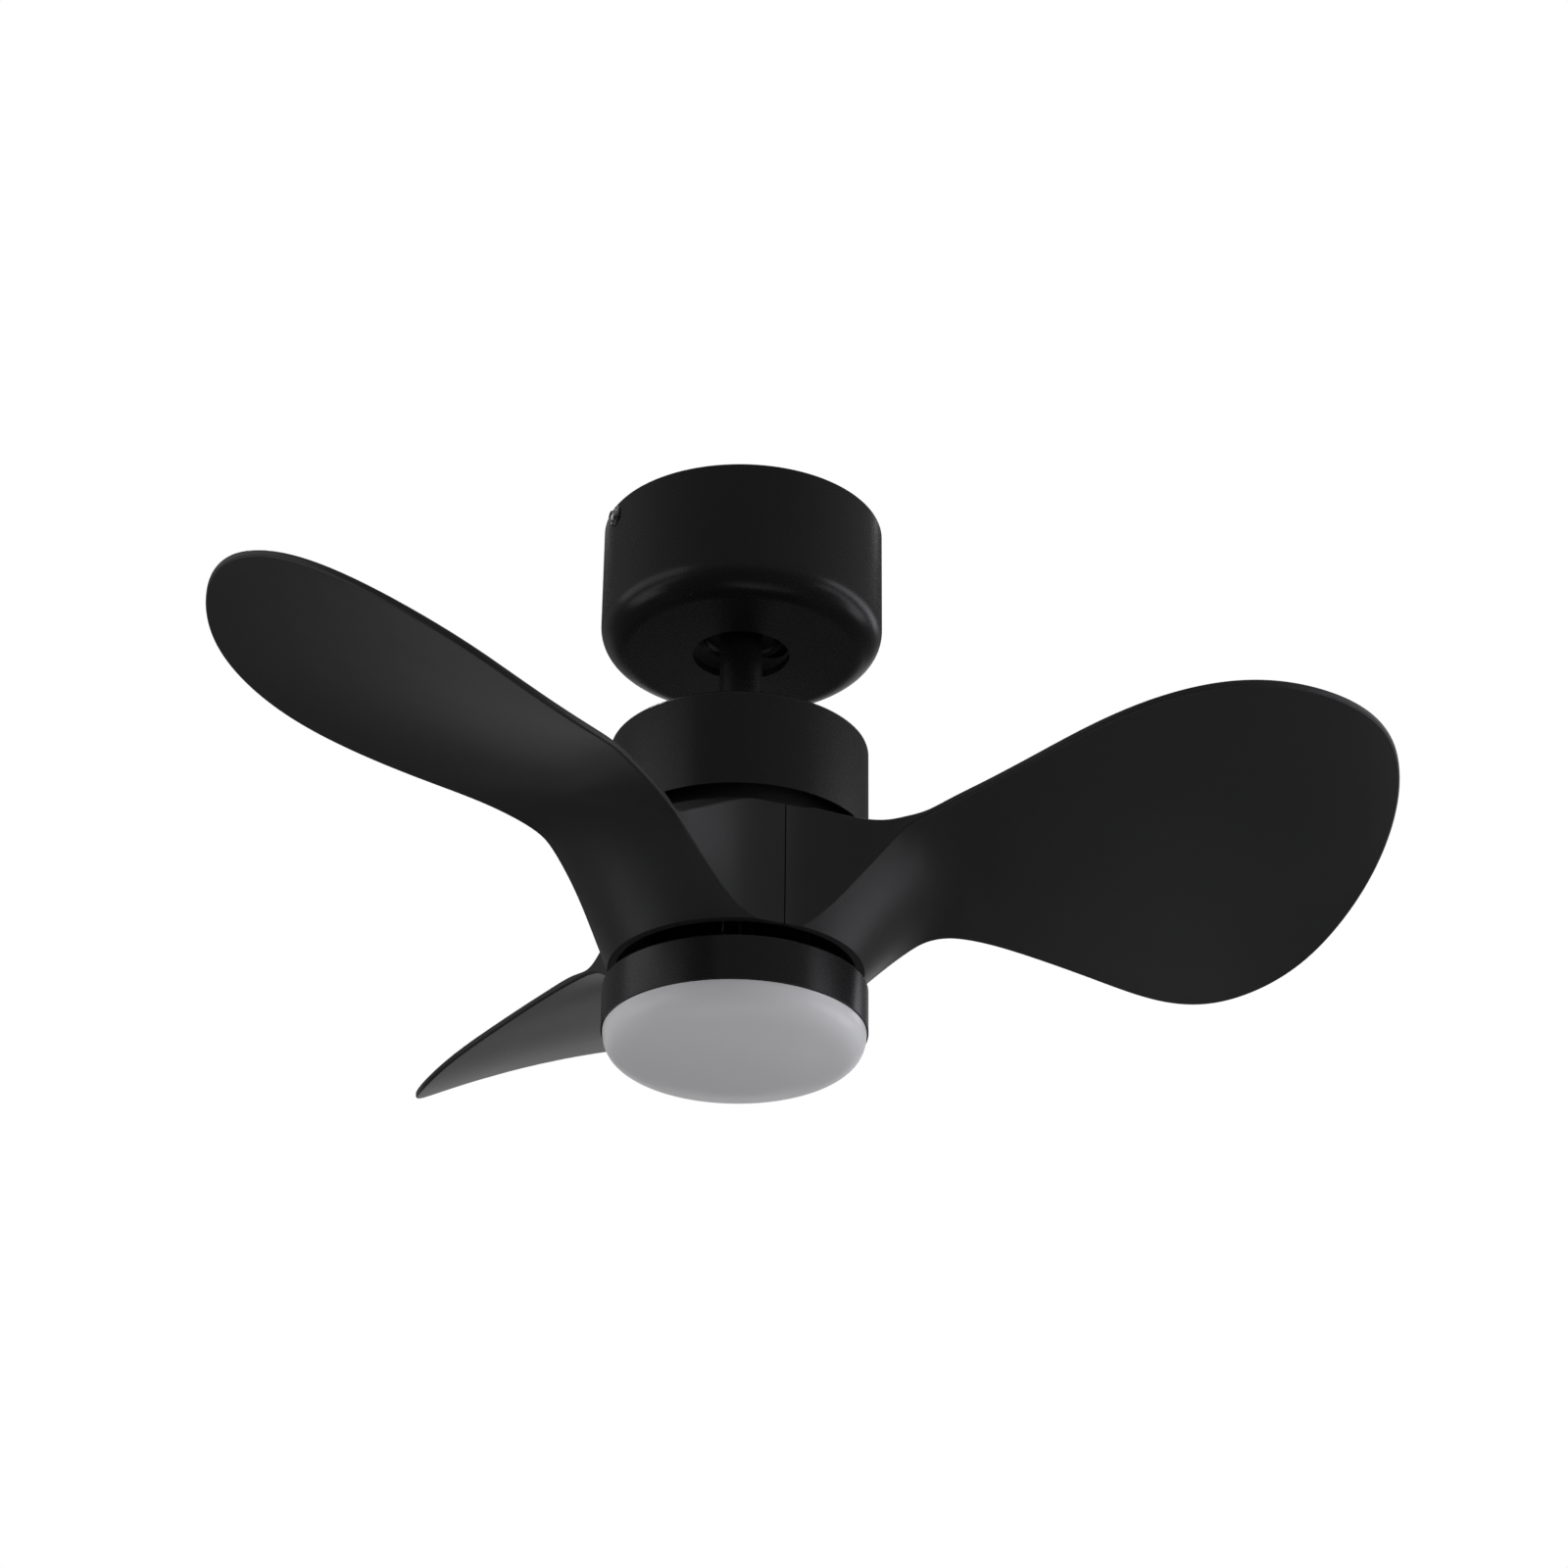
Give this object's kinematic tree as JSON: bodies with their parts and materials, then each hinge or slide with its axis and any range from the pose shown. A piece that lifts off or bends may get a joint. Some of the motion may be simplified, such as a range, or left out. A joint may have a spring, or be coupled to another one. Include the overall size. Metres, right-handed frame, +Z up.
{
  "type": "ceiling fan with light",
  "caption": "Black ceiling fan with broad teardrop blades flaring from a round hub, a short downrod under a drum canopy, and a ring light with an opal dome below the hub.",
  "frame": {"origin": "middle of the hanger bracket's top face, on the ceiling plane and on the rod's axis", "axes": "+Z up, away from the hanging fan and along the rod; +X along the hanger bracket's strap, towards one canopy screw; +Y across the strap"},
  "size_m": [0.5939, 0.5588, 0.306],
  "materials": {
    "black_paint": "satin",
    "black_plastic": "satin",
    "zinc_steel": "satin",
    "bright_steel": "polished",
    "cast_alloy": "matte",
    "bare_alloy": "satin",
    "core_steel": "matte",
    "magnet": "matte",
    "enamelled_wire": "gloss",
    "clamp_brass": "satin",
    "white_plastic": "matte",
    "opal": "frosted",
    "lamp_phosphor": "gloss"
  },
  "bodies": {
    "mount": {"hanger_bracket": "black_paint", "canopy": "black_paint", "canopy_screws": "bright_steel", "canopy_washers": "bright_steel", "receiver_box": "black_plastic", "terminal_block": "white_plastic", "terminal_screws": "clamp_brass"},
    "seat": {"ball_seat": "black_plastic"},
    "hanging": {"hanger_ball": "black_plastic", "ball_pin": "zinc_steel", "ball_set_screw": "zinc_steel", "downrod": "black_paint", "motor_coupler": "black_paint", "coupler_pin": "zinc_steel", "coupler_clip": "zinc_steel", "coupler_set_screws": "zinc_steel", "coupler_lock_nuts": "zinc_steel", "motor_housing": "black_paint", "housing_screws": "zinc_steel", "motor_shaft": "bright_steel", "stator_core": "core_steel", "stator_windings": "enamelled_wire", "upper_bearing_inner_ring": "bright_steel", "lower_bearing_inner_ring": "bright_steel", "light_housing": "black_paint", "shaft_nuts": "zinc_steel", "led_driver": "white_plastic", "heat_sink": "bare_alloy", "led_board": "white_plastic", "led_chips": "lamp_phosphor", "board_screws": "zinc_steel"},
    "rotor": {"rotor_can": "cast_alloy", "rotor_cover": "cast_alloy", "rotor_magnets": "magnet", "rotor_screws": "zinc_steel", "upper_bearing_outer_ring": "bright_steel", "lower_bearing_outer_ring": "bright_steel", "blade_carrier": "cast_alloy", "carrier_screws": "zinc_steel", "blade_1": "black_plastic", "blade_2": "black_plastic", "blade_3": "black_plastic", "blade_screws": "zinc_steel"},
    "upper_ball_set": {"upper_bearing_balls": "bright_steel", "upper_bearing_cage": "bright_steel"},
    "lower_ball_set": {"lower_bearing_balls": "bright_steel", "lower_bearing_cage": "bright_steel"},
    "diffuser": {"diffuser": "opal"}
  },
  "joints": [
    {"name": "seat_swing_x", "type": "hinge", "parent": "mount", "child": "seat", "pos_m": [0, 0, -0.042], "axis": [1, 0, 0], "range_deg": [-14, 14]},
    {"name": "ball_swing_y", "type": "hinge", "parent": "seat", "child": "hanging", "pos_m": [0, 0, -0.042], "axis": [0, 1, 0], "range_deg": [-14, 14]},
    {"name": "rotor_spin", "type": "hinge", "parent": "hanging", "child": "rotor", "pos_m": [0, 0, -0.16], "axis": [0, 0, 1], "continuous": true},
    {"name": "upper_balls_roll", "type": "hinge", "parent": "hanging", "child": "upper_ball_set", "pos_m": [0, 0, -0.143], "axis": [0, 0, 1], "continuous": true},
    {"name": "lower_balls_roll", "type": "hinge", "parent": "hanging", "child": "lower_ball_set", "pos_m": [0, 0, -0.178], "axis": [0, 0, 1], "continuous": true},
    {"name": "diffuser_twist", "type": "hinge", "parent": "hanging", "child": "diffuser", "pos_m": [0, 0, -0.284], "axis": [0, 0, 1], "range_deg": [-28, 0]}
  ],
  "couplings": [
    {"joint": "upper_balls_roll", "follows": "rotor_spin", "ratio": 0.6184},
    {"joint": "lower_balls_roll", "follows": "rotor_spin", "ratio": 0.6184}
  ]
}
